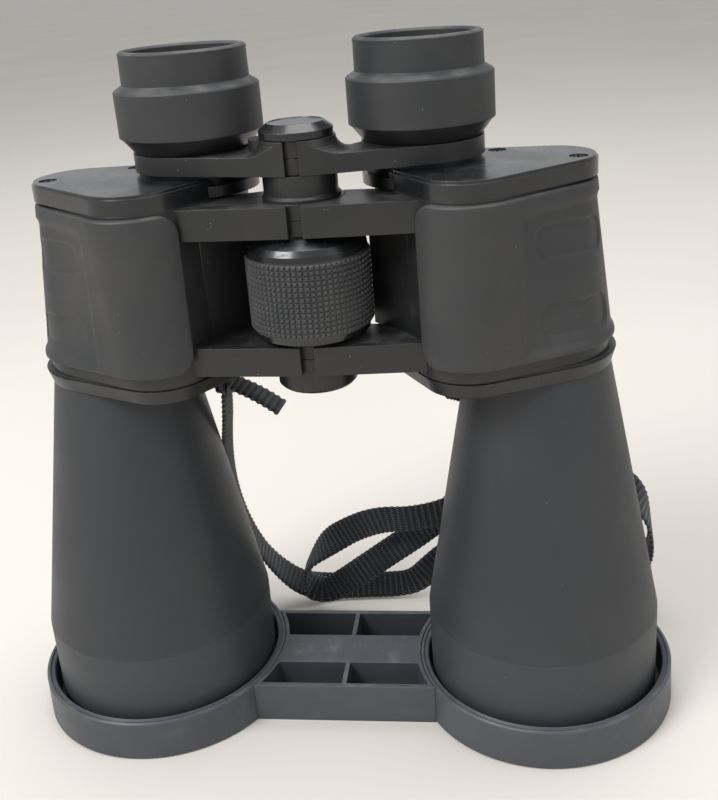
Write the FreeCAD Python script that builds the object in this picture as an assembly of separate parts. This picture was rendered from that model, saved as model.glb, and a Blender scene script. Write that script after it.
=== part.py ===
import FreeCAD, Part
import math
import os
from FreeCAD import Vector

# Porro-prism astronomy binoculars with 60 mm objectives, standing on their dual objective cap.
# Frame: X runs from one objective axis to the other, Y points away from the user's top side, Z is up
# along the optical axes. The origin is on the table, midway between the objective axes.
# Everything is in millimetres.

# ---- driving dimensions: axes ----
OBJ_X = 62.6            # objective axis to the mid plane
EYE_X = 32.35           # eyepiece axis to the mid plane
EYE_Y = 1.5
HINGE_Y = -13.1         # hinge and focus axis, in front of the objective axes
TURN_X = 46.7           # where the light turns from the upper prism to the lower one
TURN_Y = -14.4

# ---- objective barrel ----
BARREL_LOW = 2.6        # front rim of the barrel, on the floor of the cap
CELL_R = 35.7
CELL_TOP = 33.0         # edge where the straight cell meets the cone
CONE_TOP_R = 20.8
CONE_TOP = 114.7
BARREL_WALL = 2.6
SPIGOT_R = 19.8
LENS_R = 31.0
LENS_SEAT = 17.5
RING_LOW = 4.4
RING_TOP = 8.6
RUN_GAP = 0.05          # radial clearance of a turning fit

# ---- prism housing ----
FLANGE_TOP = 119.5
HOUSING_TOP = 168.6
PLATE_TOP = 173.8
HOUSING_WALL = 2.3
PLATE_SCREWS = [(74.0, -5.5), (52.5, 8.6)]
SHELF_LOW = 142.6
SHELF_TOP = 145.4
PRISM_HALF = 20.4       # half the long face of a prism
PRISM_WIDE = 20.0
PRISM_CHAMFER = 2.6

# ---- hinge arms ----
WEB_IN = (16.4, -5.4)       # front corners of the thick web between the arms, beside the focus wheel
WEB_OUT = (28.2, -19.0)
ARM_FRONT = -26.9       # front face at the slot
ARM_FRONT_OUT = -25.2   # front face where it meets the housing
SLOT_HALF = 1.95
UPPER_ARM = (159.5, 168.0)
LOWER_ARM = (120.9, 129.1)
KNUCKLE_R = 11.6
KNUCKLE_GAP = 0.3
STEP_GAP = 0.1          # half the gap between two knuckles
TUBE_R = 5.95
SPINDLE_R = 3.9

# ---- focus wheel ----
WHEEL_LOW = 129.7
WHEEL_TOP = 158.9
GRIP_LOW = 132.4
GRIP_TOP = 153.4
GRIP_R = 17.3
GRIP_THICK = 2.2

# ---- eyepieces and their bridge ----
BRIDGE_LOW = 175.1
BRIDGE_TOP = 180.1
HUB_TOP = 184.0
HUB_R = 10.4
HUB_FOOT_R = 15.2
BRIDGE_KNUCKLE_R = 8.8
HINGE_CAP_R = 9.95
HINGE_CAP_TOP = 188.0
BRIDGE_RING_R = 16.9
BRIDGE_BACK = (12.0, -9.3)  # back corners of the bar between hub and ring
BRIDGE_BACK_OUT = (16.2, -2.9)
COLLAR_R = 10.1
COLLAR_TOP = 175.0        # just under the hub when the focus is run fully in
TUBE_TOP = 181.2
EYE_SKIRT_R = 15.85
EYE_BARREL_R = 10.4
EYE_WIDE_R = 20.1
EYE_WIDE_LOW = 184.7
EYE_WIDE_TOP = 196.8
EYE_TUBE_R = 17.45
EYE_RIM = 207.5

# ---- objective cap ----
CAP_H = 13.2
CAP_R = 40.0
CAP_FOOT_R = 40.25
CAP_BORE_R = 37.2
CAP_FLOOR = 1.8
CAP_PLAY = 0.4          # each cap cup stands this much further out than its barrel at rest
TRAY_FRONT = -21.0
TRAY_BACK = 19.4
BAND_FRONT = -9.0
BAND_BACK = 5.4
TRAY_WALL = 1.6

# ---- strap ----
STRAP_WIDE = 10.0
STRAP_THICK = 1.5
STRAP_TUBE_D = math.sqrt(4 * STRAP_WIDE * STRAP_THICK / math.pi)    # round, of the same section area
LUG_X = 33.0
LUG_Y = 5.4
LUG_Z = 107.0
LUG_HALF = 6.3
LUG_WIRE_R = 1.3

NODES = {}


def disc(x, y, radius, low, high):
    return Part.makeCylinder(radius, high - low, Vector(x, y, low))


def turned(profile, x, y):
    """Solid of revolution about the vertical through (x, y), from (radius, height) corners."""
    points = [Vector(r, 0, z) for r, z in profile]
    face = Part.Face(Part.makePolygon(points + [points[0]]))
    solid = face.revolve(Vector(0, 0, 0), Vector(0, 0, 1), 360)
    solid.translate(Vector(x, y, 0))
    return solid


def prism_of(points, low, high):
    """Upright solid over a plan polygon."""
    corners = [Vector(x, y, low) for x, y in points]
    return Part.Face(Part.makePolygon(corners + [corners[0]])).extrude(Vector(0, 0, high - low))


def hull_wire(circles, z):
    """Outline round a set of circles (x, y, radius), listed counter-clockwise: arcs and tangents."""
    count = len(circles)
    ends = []
    for i in range(count):
        x0, y0, r0 = circles[i]
        x1, y1, r1 = circles[(i + 1) % count]
        dx, dy = x1 - x0, y1 - y0
        length = math.hypot(dx, dy)
        dx, dy = dx / length, dy / length
        lean = (r0 - r1) / length
        across = math.sqrt(1 - lean * lean)
        nx, ny = dx * lean + dy * across, dy * lean - dx * across
        ends.append(((x0 + r0 * nx, y0 + r0 * ny), (x1 + r1 * nx, y1 + r1 * ny)))
    edges = []
    for i in range(count):
        x0, y0, r0 = circles[i]
        start = ends[i - 1][1]
        end = ends[i][0]
        a0 = math.atan2(start[1] - y0, start[0] - x0)
        a1 = math.atan2(end[1] - y0, end[0] - x0)
        if a1 < a0:
            a1 += 2 * math.pi
        mid = (a0 + a1) / 2
        edges.append(Part.Arc(
            Vector(start[0], start[1], z),
            Vector(x0 + r0 * math.cos(mid), y0 + r0 * math.sin(mid), z),
            Vector(end[0], end[1], z)).toShape())
        edges.append(Part.makeLine(Vector(end[0], end[1], z), Vector(*ends[i][1], z)))
    return Part.Wire(edges)


def grown(circles, by):
    return [(x, y, r + by) for x, y, r in circles]


def slab(circles, low, high):
    return Part.Face(hull_wire(circles, low)).extrude(Vector(0, 0, high - low))


def flared(low_circles, high_circles, low, high):
    """Ruled solid between two hull outlines that have the same number of circles."""
    return Part.makeLoft([hull_wire(low_circles, low), hull_wire(high_circles, high)], True, True)


def lens(radius, low, high, bulge_low, bulge_high, x, y):
    """Round lens: low and high are its edge heights, the bulges add to (or cut into) the middle."""
    axis_low = Vector(0, 0, low - bulge_low)
    axis_high = Vector(0, 0, high + bulge_high)
    edge_low = Vector(radius, 0, low)
    edge_high = Vector(radius, 0, high)

    def face_arc(axis, edge, bulge, sign):
        if abs(bulge) < 1e-6:
            return Part.makeLine(axis, edge)
        sphere = (radius * radius + bulge * bulge) / (2 * abs(bulge))
        half = math.asin(radius / sphere) / 2
        drop = sphere * (1 - math.cos(half))
        turn = 1 if bulge > 0 else -1
        middle = Vector(sphere * math.sin(half), 0, axis.z - sign * turn * drop)
        return Part.Arc(axis, middle, edge).toShape()

    edges = [
        face_arc(axis_low, edge_low, bulge_low, -1),
        Part.makeLine(edge_low, edge_high),
        face_arc(axis_high, edge_high, bulge_high, 1),
        Part.makeLine(axis_high, axis_low)]
    face = Part.Face(Part.Wire(Part.__sortEdges__(edges)))
    solid = face.revolve(Vector(0, 0, 0), Vector(0, 0, 1), 360)
    solid.translate(Vector(x, y, 0))
    return solid


def on_left(shape):
    return shape.mirror(Vector(0, 0, 0), Vector(1, 0, 0))


def both_sides(name, shape):
    NODES["right_" + name] = shape
    NODES["left_" + name] = on_left(shape)


# ---- plan outlines of the right housing (circles counter-clockwise) ----
FLANGE_PLAN = [(EYE_X, 0.5, 14.0), (43.8, -17.0, 14.4), (OBJ_X, 0.0, 22.4)]
PLATE_PLAN = [(EYE_X, 0.5, 14.0), (44.8, -18.6, 14.0), (66.0, -1.5, 13.5)]
LOW_PLAN = [(EYE_X, 0.5, 14.0), (43.8, -17.0, 14.4), (61.4, 0.0, 21.6)]
HIGH_PLAN = [(EYE_X, 0.5, 14.0), (44.8, -18.6, 14.0), (64.3, -1.5, 13.2)]


def housing_solid(offset, low=FLANGE_TOP, high=HOUSING_TOP):
    return flared(grown(LOW_PLAN, offset), grown(HIGH_PLAN, offset), low, high)


# ---- objective end ----
def barrel():
    lean = (CELL_R - CONE_TOP_R) / (CONE_TOP - CELL_TOP)
    inner_top = CONE_TOP_R - BARREL_WALL
    profile = [
        (LENS_R, BARREL_LOW), (CELL_R - 0.6, BARREL_LOW), (CELL_R, BARREL_LOW + 0.6),
        (CELL_R, CELL_TOP), (CONE_TOP_R, CONE_TOP), (SPIGOT_R, CONE_TOP),
        (SPIGOT_R, FLANGE_TOP), (inner_top - 0.6, FLANGE_TOP), (inner_top, CONE_TOP),
        (CELL_R - BARREL_WALL - lean, CELL_TOP), (LENS_R - 1.6, CELL_TOP - 4.0),
        (LENS_R - 1.6, LENS_SEAT), (LENS_R, LENS_SEAT)]
    return turned(profile, OBJ_X, 0)


def retaining_ring():
    outer = LENS_R - RUN_GAP
    profile = [
        (outer - 1.6, RING_LOW + 0.5), (outer - 1.1, RING_LOW), (outer, RING_LOW),
        (outer, RING_TOP), (outer - 1.6, RING_TOP)]
    ring = turned(profile, OBJ_X, 0)
    for angle in (0, 180):
        notch = Part.makeBox(4.0, 2.0, 1.2, Vector(outer - 2.4, -1.0, RING_LOW - 0.2))
        notch.rotate(Vector(0, 0, 0), Vector(0, 0, 1), angle)
        notch.translate(Vector(OBJ_X, 0, 0))
        ring = ring.cut(notch)
    return ring


def objective_flange():
    lower = grown(FLANGE_PLAN, -1.4)
    plate = flared(lower, grown(FLANGE_PLAN, -0.2), CONE_TOP, FLANGE_TOP - 0.7)
    lip = slab(grown(FLANGE_PLAN, -0.9), FLANGE_TOP - 0.7, FLANGE_TOP)
    return plate.fuse(lip).cut(disc(OBJ_X, 0, SPIGOT_R, CONE_TOP - 1, FLANGE_TOP + 1)).removeSplitter()


# ---- prisms ----
def porro_prism(x0, y0, x1, y1, base, upward, grow=0.0, wide=PRISM_WIDE):
    """Roof-shaped prism whose long face lies at height base, over the line between two light paths."""
    length = math.hypot(x1 - x0, y1 - y0)
    ux, uy = (x1 - x0) / length, (y1 - y0) / length
    cx, cy = (x0 + x1) / 2, (y0 + y1) / 2
    half = PRISM_HALF + grow * (1 + math.sqrt(2))
    cut = PRISM_CHAMFER
    top = PRISM_HALF - cut + grow
    sign = 1 if upward else -1
    section = [(-half, 0), (half, 0), (half - top, top), (-half + top, top)]
    points = [
        Vector(cx + s * ux + uy * wide / 2, cy + s * uy - ux * wide / 2, base + sign * h)
        for s, h in section]
    face = Part.Face(Part.makePolygon(points + [points[0]]))
    return face.extrude(Vector(-uy * wide, ux * wide, 0))


def prism_ends(x0, y0, x1, y1):
    low, high = FLANGE_TOP, HOUSING_TOP
    return slab([(x0, y0, PRISM_WIDE / 2 + 0.4), (x1, y1, PRISM_WIDE / 2 + 0.4)], low, high)


def upper_prism():
    body = porro_prism(OBJ_X, 0, TURN_X, TURN_Y, SHELF_TOP, True)
    return body.common(prism_ends(OBJ_X, 0, TURN_X, TURN_Y))


def lower_prism():
    body = porro_prism(TURN_X, TURN_Y, EYE_X, EYE_Y, SHELF_LOW, False)
    return body.common(prism_ends(TURN_X, TURN_Y, EYE_X, EYE_Y))


def prism_clips():
    """Two spring straps, each bent over the ridge of its prism and ending on the shelf."""
    straps = []
    spring, strap_wide = 0.6, 6.0
    for ends, base, upward in (
            ((OBJ_X, 0, TURN_X, TURN_Y), SHELF_TOP, True),
            ((TURN_X, TURN_Y, EYE_X, EYE_Y), SHELF_LOW, False)):
        outer = porro_prism(*ends, base, upward, spring, strap_wide)
        inner = porro_prism(*ends, base, upward, 0.0, strap_wide + 4)
        straps.append(outer.cut(inner).common(housing_solid(-HOUSING_WALL - 0.1)))
    return Part.makeCompound(straps)


def prism_shelf():
    shelf = housing_solid(-HOUSING_WALL).common(slab(grown(LOW_PLAN, 5), SHELF_LOW, SHELF_TOP))
    for x, y in ((OBJ_X, 0), (TURN_X, TURN_Y), (EYE_X, EYE_Y)):
        shelf = shelf.cut(disc(x, y, 9.2, SHELF_LOW - 1, SHELF_TOP + 1))
    return shelf


# ---- housing with its two hinge arms ----
def arm_plan():
    return [
        (SLOT_HALF, ARM_FRONT), (34.0, ARM_FRONT_OUT), (42.0, -10.0), (22.0, -8.5),
        (11.0, -8.0), (SLOT_HALF, -8.0)]


def hinge_arm(low, high, knuckle_low, knuckle_high):
    """One arm of the right half: a block that ends at the slot, and its half-height knuckle."""
    arm = prism_of(arm_plan(), low, high)
    arm = arm.cut(disc(0, HINGE_Y, KNUCKLE_R + KNUCKLE_GAP, low - 1, high + 1))
    reach = slab([(0, HINGE_Y, KNUCKLE_R), (16.0, HINGE_Y, 6.0)], knuckle_low, knuckle_high)
    return arm.fuse(reach)


def inner_web():
    """Thick part of the housing wall between its two arms, square to the focus wheel."""
    behind = 4.0
    plan = [WEB_IN, WEB_OUT, (WEB_OUT[0] + 7.0, WEB_OUT[1]), (EYE_X, EYE_Y), (20.0, 7.0), (WEB_IN[0], behind)]
    return prism_of(plan, LOWER_ARM[1] - 0.5, UPPER_ARM[0] + 0.5)


def housing(right):
    shell = housing_solid(0).fuse(inner_web())
    middle = [(low + high) / 2 for low, high in (LOWER_ARM, UPPER_ARM)]
    for (low, high), half in zip((LOWER_ARM, UPPER_ARM), middle):
        own = (low, half - STEP_GAP) if right else (half + STEP_GAP, high)
        shell = shell.fuse(hinge_arm(low, high, *own))
    shell = shell.cut(housing_solid(-HOUSING_WALL))
    bore = TUBE_R + RUN_GAP if right else TUBE_R
    shell = shell.cut(disc(0, HINGE_Y, bore, LOWER_ARM[0] - 1, UPPER_ARM[1] + 1)).removeSplitter()
    return shell if right else on_left(shell)


def ocular_plate():
    plate = slab(PLATE_PLAN, HOUSING_TOP, PLATE_TOP - 0.8)
    plate = plate.fuse(slab(grown(PLATE_PLAN, -0.6), PLATE_TOP - 0.8, PLATE_TOP))
    collar_r, bore_r = 17.3, EYE_SKIRT_R + 0.1
    floor = HOUSING_TOP + 1.0
    plate = plate.fuse(disc(EYE_X, EYE_Y, collar_r, HOUSING_TOP, 171.6))
    plate = plate.cut(disc(EYE_X, EYE_Y, bore_r, floor, PLATE_TOP + 1))
    plate = plate.cut(disc(EYE_X, EYE_Y, EYE_BARREL_R + 0.1, HOUSING_TOP - 1, PLATE_TOP + 1))
    for x, y in PLATE_SCREWS:
        plate = plate.cut(disc(x, y, 2.6, PLATE_TOP - 1.4, PLATE_TOP + 1))
        plate = plate.cut(disc(x, y, 1.0, HOUSING_TOP - 1, PLATE_TOP))
    return plate.removeSplitter()


def plate_screws():
    group = []
    for x, y in PLATE_SCREWS:
        head = disc(x, y, 2.3, PLATE_TOP - 1.4, PLATE_TOP - 0.3)
        slot_long = Part.makeBox(2.8, 0.6, 0.8, Vector(x - 1.4, y - 0.3, PLATE_TOP - 0.9))
        slot_wide = Part.makeBox(0.6, 2.8, 0.8, Vector(x - 0.3, y - 1.4, PLATE_TOP - 0.9))
        shank = disc(x, y, 1.0, HOUSING_TOP, PLATE_TOP - 1.4)
        group.append(head.cut(slot_long).cut(slot_wide).fuse(shank).removeSplitter())
    return Part.makeCompound(group)


def armour():
    """Rubber skin over the front, the outer end and the back of the housing."""
    low, high, thick, corner, start = 122.8, 167.9, 1.8, 6.0, 32.2
    skin = housing_solid(thick).cut(housing_solid(0))
    window = slab_window(start, 120.0, low, high, corner)
    return skin.common(window)


def slab_window(x0, x1, z0, z1, corner):
    """Block through the whole depth, with its two inner corners rounded."""
    k = corner * (1 - math.sqrt(0.5))
    p = [Vector(x, -60, z) for x, z in (
        (x1, z0), (x1, z1), (x0 + corner, z1), (x0 + k, z1 - k), (x0, z1 - corner),
        (x0, z0 + corner), (x0 + k, z0 + k), (x0 + corner, z0))]
    edges = [
        Part.makeLine(p[0], p[1]), Part.makeLine(p[1], p[2]), Part.Arc(p[2], p[3], p[4]).toShape(),
        Part.makeLine(p[4], p[5]), Part.Arc(p[5], p[6], p[7]).toShape(), Part.makeLine(p[7], p[0])]
    return Part.Face(Part.Wire(edges)).extrude(Vector(0, 120, 0))


# ---- hinge line ----
def hinge_tube():
    return disc(0, HINGE_Y, TUBE_R, LOWER_ARM[0], TUBE_TOP).cut(
        disc(0, HINGE_Y, SPINDLE_R + RUN_GAP, LOWER_ARM[0] - 1, TUBE_TOP + 1))


def hinge_collar():
    collar = turned([
        (TUBE_R, UPPER_ARM[1]), (COLLAR_R + 0.6, UPPER_ARM[1]), (COLLAR_R + 0.6, UPPER_ARM[1] + 0.8),
        (COLLAR_R, UPPER_ARM[1] + 1.4), (COLLAR_R, COLLAR_TOP), (TUBE_R, COLLAR_TOP)], 0, HINGE_Y)
    return collar


def end_cap():
    """Bottom end of the hinge, with the 1/4-20 tripod socket."""
    low = 114.4
    return turned([
        (3.175, low + 0.5), (3.7, low), (10.4, low), (11.25, low + 0.9), (11.4, LOWER_ARM[0]),
        (0, LOWER_ARM[0]), (0, low + 5.6), (3.175, low + 5.6)], 0, HINGE_Y)


def thrust_washers():
    return Part.makeCompound([
        turned([(TUBE_R, low), (9.5, low), (9.5, high), (TUBE_R, high)], 0, HINGE_Y)
        for low, high in ((LOWER_ARM[1], WHEEL_LOW - 0.05), (WHEEL_TOP + 0.05, UPPER_ARM[0]))])


def focus_wheel():
    bore = TUBE_R + RUN_GAP
    core = GRIP_R - GRIP_THICK
    return turned([
        (bore, WHEEL_LOW), (14.6, WHEEL_LOW), (16.1, WHEEL_LOW + 0.9), (16.4, GRIP_LOW),
        (core, GRIP_LOW), (core, GRIP_TOP), (16.8, GRIP_TOP), (16.6, GRIP_TOP + 1.7),
        (15.6, GRIP_TOP + 3.3), (14.0, GRIP_TOP + 4.3), (12.0, WHEEL_TOP), (bore, WHEEL_TOP)],
        0, HINGE_Y)


def focus_grip():
    core = GRIP_R - GRIP_THICK
    return turned([
        (core, GRIP_LOW), (GRIP_R - 0.3, GRIP_LOW), (GRIP_R, GRIP_LOW + 0.3),
        (GRIP_R, GRIP_TOP - 0.3), (GRIP_R - 0.3, GRIP_TOP), (core, GRIP_TOP)], 0, HINGE_Y)


def focus_spindle():
    return disc(0, HINGE_Y, SPINDLE_R, 124.0, HUB_TOP)


def hinge_cap():
    low = HUB_TOP + 0.05
    return turned([
        (0, low), (9.7, low), (HINGE_CAP_R, low + 0.3), (HINGE_CAP_R, low + 2.1),
        (7.6, HINGE_CAP_TOP), (7.3, HINGE_CAP_TOP), (7.2, HINGE_CAP_TOP - 0.2),
        (0, HINGE_CAP_TOP - 0.2)], 0, HINGE_Y)


# ---- eyepiece bridge ----
def bridge_arm(right):
    """One arm of the focus bridge: a flat arm round the eyepiece and a swept-up hub at the hinge."""
    middle = (BRIDGE_LOW + HUB_TOP) / 2
    hub, ring = (0, HINGE_Y, HUB_R), (EYE_X, EYE_Y, BRIDGE_RING_R)

    def plan(high):
        bar = slab([hub, ring], BRIDGE_LOW, high)
        behind = [(-20, BRIDGE_BACK[1]), BRIDGE_BACK, BRIDGE_BACK_OUT, (14, 20), (-20, 20)]
        bar = bar.cut(prism_of(behind, BRIDGE_LOW - 1, HUB_TOP + 1))
        return bar.fuse([disc(*hub, BRIDGE_LOW, high), disc(*ring, BRIDGE_LOW, high)])

    arm = plan(BRIDGE_TOP)
    rise, run = HUB_TOP - BRIDGE_TOP, HUB_FOOT_R - HUB_R
    steps = 6
    sweep = [(0, BRIDGE_LOW), (HUB_FOOT_R, BRIDGE_LOW)]
    for i in range(steps + 1):
        t = math.radians(90 * i / steps)
        sweep.append((HUB_FOOT_R - run * math.sin(t), BRIDGE_TOP + rise * (1 - math.cos(t))))
    sweep.append((0, HUB_TOP))
    arm = arm.fuse(turned(sweep, 0, HINGE_Y).common(plan(HUB_TOP)))
    arm = arm.common(Part.makeBox(80, 80, 20, Vector(SLOT_HALF, -40, BRIDGE_LOW - 1)))
    arm = arm.cut(disc(0, HINGE_Y, BRIDGE_KNUCKLE_R + KNUCKLE_GAP, BRIDGE_LOW - 1, HUB_TOP + 1))
    low, high = (BRIDGE_LOW, middle - STEP_GAP) if right else (middle + STEP_GAP, HUB_TOP)
    arm = arm.fuse(slab([(0, HINGE_Y, BRIDGE_KNUCKLE_R), (8.0, HINGE_Y, 5.0)], low, high))
    arm = arm.cut(disc(0, HINGE_Y, TUBE_R + RUN_GAP, BRIDGE_LOW - 1, HUB_TOP - 1.4))
    arm = arm.cut(disc(0, HINGE_Y, SPINDLE_R, HUB_TOP - 2, HUB_TOP + 1))
    arm = arm.cut(disc(EYE_X, EYE_Y, 14.4, BRIDGE_LOW - 1, HUB_TOP + 1)).removeSplitter()
    return arm if right else on_left(arm)


def ocular_tube():
    """Sliding tube of one eyepiece, with the skirt that closes its gap to the cover plate."""
    bore, field_r = 9.2, 9.8
    return turned([
        (bore, 152.0), (EYE_BARREL_R, 152.0), (EYE_BARREL_R, 171.6), (EYE_SKIRT_R, 171.6),
        (EYE_SKIRT_R, BRIDGE_LOW), (14.4, BRIDGE_LOW), (14.4, 182.8), (12.4, 182.8),
        (12.4, 173.4), (field_r, 173.4), (field_r, 168.0), (bore, 168.0)], EYE_X, EYE_Y)


def field_lens():
    return lens(9.8, 168.1, 171.4, 0.3, 2.0, EYE_X, EYE_Y)


def ocular_body():
    low = BRIDGE_TOP + 0.1
    return turned([
        (14.4 + RUN_GAP, low), (16.3, low), (EYE_WIDE_R - 0.3, EYE_WIDE_LOW), (17.6, EYE_WIDE_LOW),
        (17.6, EYE_WIDE_TOP - 1.2), (16.6, EYE_WIDE_TOP - 0.4), (11.0, EYE_WIDE_TOP - 0.4),
        (10.6, 194.6), (12.0, 194.6), (12.0, 188.0), (11.0, 188.0), (11.0, 183.4),
        (14.4 + RUN_GAP, 183.4)], EYE_X, EYE_Y)


def eye_lens():
    return lens(12.0, 188.6, 194.6, 1.4, -1.0, EYE_X, EYE_Y)


def eyecup():
    inner = 15.2
    return turned([
        (17.6, EYE_WIDE_LOW), (EYE_WIDE_R, EYE_WIDE_LOW), (EYE_WIDE_R, EYE_WIDE_TOP),
        (EYE_WIDE_R - 0.4, EYE_WIDE_TOP + 0.5), (EYE_TUBE_R + 0.1, 198.6), (EYE_TUBE_R, 206.0),
        (EYE_TUBE_R + 0.1, 206.9), (EYE_TUBE_R - 0.6, EYE_RIM), (inner + 0.6, EYE_RIM),
        (inner, 206.9), (inner, EYE_WIDE_TOP - 0.4), (16.6, EYE_WIDE_TOP - 0.4),
        (17.6, EYE_WIDE_TOP - 1.2)], EYE_X, EYE_Y)


# ---- dual objective cap ----
def cap_cup(x):
    """One cup: a floor, a slightly tapered wall and a rim with a groove between two lips."""
    rim = CAP_H
    return turned([
        (0, 0), (CAP_FOOT_R - 0.5, 0), (CAP_FOOT_R, 0.5), (CAP_R, rim - 0.5), (CAP_R - 0.5, rim),
        (CAP_R - 1.1, rim), (CAP_R - 1.3, rim - 0.6), (CAP_R - 1.8, rim - 0.6), (CAP_BORE_R + 0.5, rim),
        (CAP_BORE_R, rim - 0.5), (CAP_BORE_R, CAP_FLOOR), (0, CAP_FLOOR)], x, 0)


def cap_bridge():
    """Open tray between the cups: two pockets that open upwards and a raised band between them."""
    cup_x = OBJ_X + CAP_PLAY
    far = cup_x - CAP_FOOT_R + 13.0
    gusset = 2.6
    plan = [
        (-far, TRAY_FRONT - gusset), (-far + gusset + 1.6, TRAY_FRONT), (far - gusset - 1.6, TRAY_FRONT),
        (far, TRAY_FRONT - gusset), (far, TRAY_BACK), (-far, TRAY_BACK)]
    block = prism_of(plan, 0, CAP_H)
    for side in (-1, 1):
        cup = turned([(0, -1), (CAP_FOOT_R, -1), (CAP_FOOT_R, 0.5), (CAP_R, CAP_H - 0.5),
                      (CAP_R, CAP_H + 1), (0, CAP_H + 1)], side * cup_x, 0)
        block = block.cut(cup)
    rib = 0.7
    for low, high in (
            (TRAY_FRONT + TRAY_WALL, BAND_FRONT), (BAND_BACK, TRAY_BACK - TRAY_WALL)):
        for x0, x1, side in ((-far, -rib, -1), (rib, far, 1)):
            pocket = Part.makeBox(x1 - x0, high - low, CAP_H, Vector(x0, low, CAP_FLOOR))
            pocket = pocket.cut(disc(side * cup_x, 0, CAP_FOOT_R + 0.9, -1, CAP_H + 5))
            block = block.cut(pocket)
    hollow = Part.makeBox(
        50.0, BAND_BACK - BAND_FRONT - 2 * TRAY_WALL, CAP_H - TRAY_WALL,
        Vector(-25.0, BAND_FRONT + TRAY_WALL, 0))
    return block.cut(hollow).removeSplitter()


# ---- strap ----
def strap_lug():
    """Wire bail under the housing, with the strap round its lower bar."""
    bar = Part.makeCylinder(LUG_WIRE_R, 2 * LUG_HALF, Vector(LUG_X, LUG_Y - LUG_HALF, LUG_Z), Vector(0, 1, 0))
    bail = bar
    for y in (LUG_Y - LUG_HALF, LUG_Y + LUG_HALF):
        bail = bail.fuse(disc(LUG_X, y, LUG_WIRE_R, LUG_Z, CONE_TOP))
        bail = bail.fuse(Part.makeSphere(LUG_WIRE_R, Vector(LUG_X, y, LUG_Z)))
    return bail.removeSplitter()


def strap_tail():
    """Short free end of the strap, beside the left lug."""
    tail = Part.makeBox(17.5, STRAP_WIDE, STRAP_THICK, Vector(0, -STRAP_WIDE / 2, -STRAP_THICK / 2))
    tail.rotate(Vector(0, 0, 0), Vector(0, 1, 0), 32)
    tail.rotate(Vector(0, 0, 0), Vector(0, 0, 1), -5)
    tail.translate(Vector(-LUG_X + LUG_WIRE_R + 0.8, LUG_Y, LUG_Z))
    return tail


STRAP_ROUTE = [
    (-33.0, 5.4, 104.6), (-34.5, 8.5, 95.5), (-38.5, 17.5, 82.0), (-41.5, 25.5, 69.0),
    (-42.5, 30.5, 54.5), (-41.2, 34.5, 41.0), (-37.8, 38.0, 28.0), (-32.3, 41.0, 17.0),
    (-24.5, 43.5, 8.0), (-14.0, 46.5, 5.2), (-2.0, 47.5, 5.2), (9.0, 47.8, 5.2),
    (17.5, 48.0, 6.5), (24.0, 48.3, 13.0), (31.5, 49.0, 19.5), (42.0, 49.0, 19.0),
    (54.0, 47.5, 11.5), (66.0, 46.5, 6.0), (78.5, 48.0, 5.2), (88.5, 54.0, 5.2),
    (89.0, 64.0, 5.2), (78.0, 69.5, 5.2), (64.5, 71.0, 5.2), (51.5, 71.0, 5.2),
    (41.5, 67.5, 5.2), (38.0, 60.5, 5.2), (43.5, 55.8, 5.6), (53.5, 55.5, 7.0), (66.0, 56.0, 9.5),
    (78.5, 54.5, 14.5), (89.0, 49.5, 16.5), (97.0, 44.0, 17.5), (101.5, 38.5, 24.5),
    (101.3, 34.5, 35.0), (99.0, 33.0, 46.0), (92.0, 35.0, 54.5), (81.0, 40.0, 59.5),
    (68.0, 43.5, 60.0), (55.0, 41.0, 56.5), (43.5, 33.5, 52.0), (32.0, 26.5, 48.5),
    (20.0, 24.0, 46.8), (9.0, 26.5, 45.5), (-1.5, 31.0, 39.5), (-11.0, 34.5, 32.0),
    (-18.5, 37.0, 24.0), (-22.3, 39.0, 16.5), (-20.8, 40.0, 9.5), (-14.5, 39.5, 7.6),
    (-7.5, 37.8, 13.0), (1.0, 36.3, 20.0), (11.5, 35.5, 28.0), (22.5, 34.5, 36.5), (33.5, 33.5, 46.0),
    (42.5, 32.5, 58.0), (47.0, 30.0, 71.0), (46.5, 25.5, 84.0), (41.5, 18.5, 94.5),
    (36.0, 10.5, 100.8), (33.0, 5.4, 103.4)]


def rounded_path(points):
    """Straight runs joined by tangent arcs, each as large as its two runs allow."""
    corners = [Vector(*p) for p in points]
    edges, radii = [], []
    here = corners[0]
    for before, corner, after in zip(corners, corners[1:], corners[2:]):
        run_in, run_out = corner.sub(before), after.sub(corner)
        shorter = min(run_in.Length, run_out.Length)
        into, onward = run_in.normalize(), run_out.normalize()
        turn = into.getAngle(onward)
        cut = 0.45 * shorter
        radii.append(cut / math.tan(turn / 2))
        start = corner.sub(into * cut)
        end = corner.add(onward * cut)
        inward = onward.sub(into).normalize()
        rise = radii[-1] * (1 / math.cos(turn / 2) - 1)
        middle = corner.add(inward * rise)
        edges.append(Part.makeLine(here, start))
        edges.append(Part.Arc(start, middle, end).toShape())
        here = end
    edges.append(Part.makeLine(here, corners[-1]))
    return Part.Wire(edges), radii


def strap():
    path, radii = rounded_path(STRAP_ROUTE)
    first = Vector(*STRAP_ROUTE[0])
    along = Vector(*STRAP_ROUTE[1]).sub(first)
    section = Part.Wire(Part.makeCircle(STRAP_TUBE_D / 2, first, along))
    tube = path.makePipeShell([section], True, False)
    expected = math.pi * (STRAP_TUBE_D / 2) ** 2 * path.Length
    print("strap length", round(path.Length, 1), "volume ratio", round(tube.Volume / expected, 4))
    print("strap radii", [round(r, 1) for r in radii])
    return tube


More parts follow.
